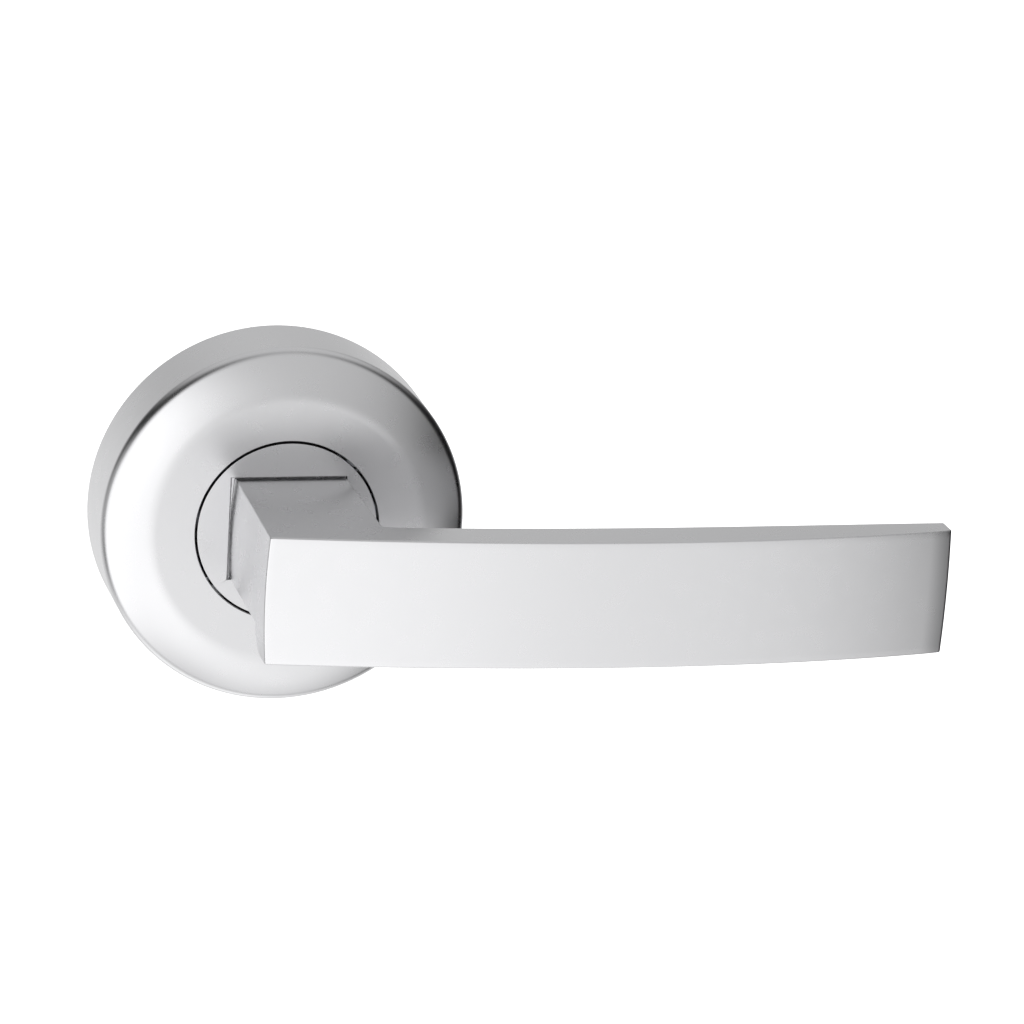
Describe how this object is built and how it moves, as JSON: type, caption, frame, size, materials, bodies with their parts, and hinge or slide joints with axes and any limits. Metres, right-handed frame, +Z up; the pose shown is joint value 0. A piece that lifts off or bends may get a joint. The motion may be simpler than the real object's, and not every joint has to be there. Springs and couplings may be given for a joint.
{
  "type": "lever door handle on round rose",
  "caption": "Satin chrome lever door handle on a round rose with a domed outer ring, with its sprung mounting plate, square spindle and through-door fixings: one side of a passage set.",
  "frame": {"origin": "on the spindle's axis in the plane of the door's face, midway between the two fixing posts", "axes": "+Y into the door along the spindle, so the handle stands out towards -Y; +X along the lever, towards its tip; +Z up"},
  "size_m": [0.1425, 0.1198, 0.065],
  "materials": {
    "satin_chrome": "satin chrome plating with a very fine matt grain",
    "zinc_casting": "as-cast zinc alloy, dull and slightly grainy",
    "zinc_plated_steel": "bright zinc plating on steel",
    "spring_steel": "oiled spring steel",
    "black_steel": "black oxide on steel",
    "nylon": "natural moulded nylon"
  },
  "bodies": {
    "rose": {"rose_cover": "satin_chrome", "mounting_plate": "zinc_casting", "fixing_posts": "zinc_plated_steel", "spring_housing": "zinc_plated_steel", "housing_cover": "zinc_plated_steel", "return_spring": "spring_steel", "stop_buffers": "nylon", "lever_bush": "nylon", "plate_bush": "nylon", "post_washers": "zinc_plated_steel", "wood_screws": "zinc_plated_steel", "housing_screws": "zinc_plated_steel", "cover_clips": "spring_steel", "clip_rivets": "zinc_plated_steel"},
    "lever": {"lever_handle": "satin_chrome", "neck_collar": "satin_chrome", "drive_hub": "zinc_casting", "wave_washer": "spring_steel", "retaining_washer": "zinc_plated_steel", "circlip": "black_steel", "spindle": "zinc_plated_steel", "grub_screw": "black_steel"}
  },
  "joints": [
    {"name": "lever_turn", "type": "hinge", "parent": "rose", "child": "lever", "pos_m": [0, 0, 0], "axis": [0, 1, 0], "range_deg": [0, 50], "stiffness_Nm_per_rad": 0.8, "springref_deg": -57.3, "deforming": ["return_spring"]}
  ]
}
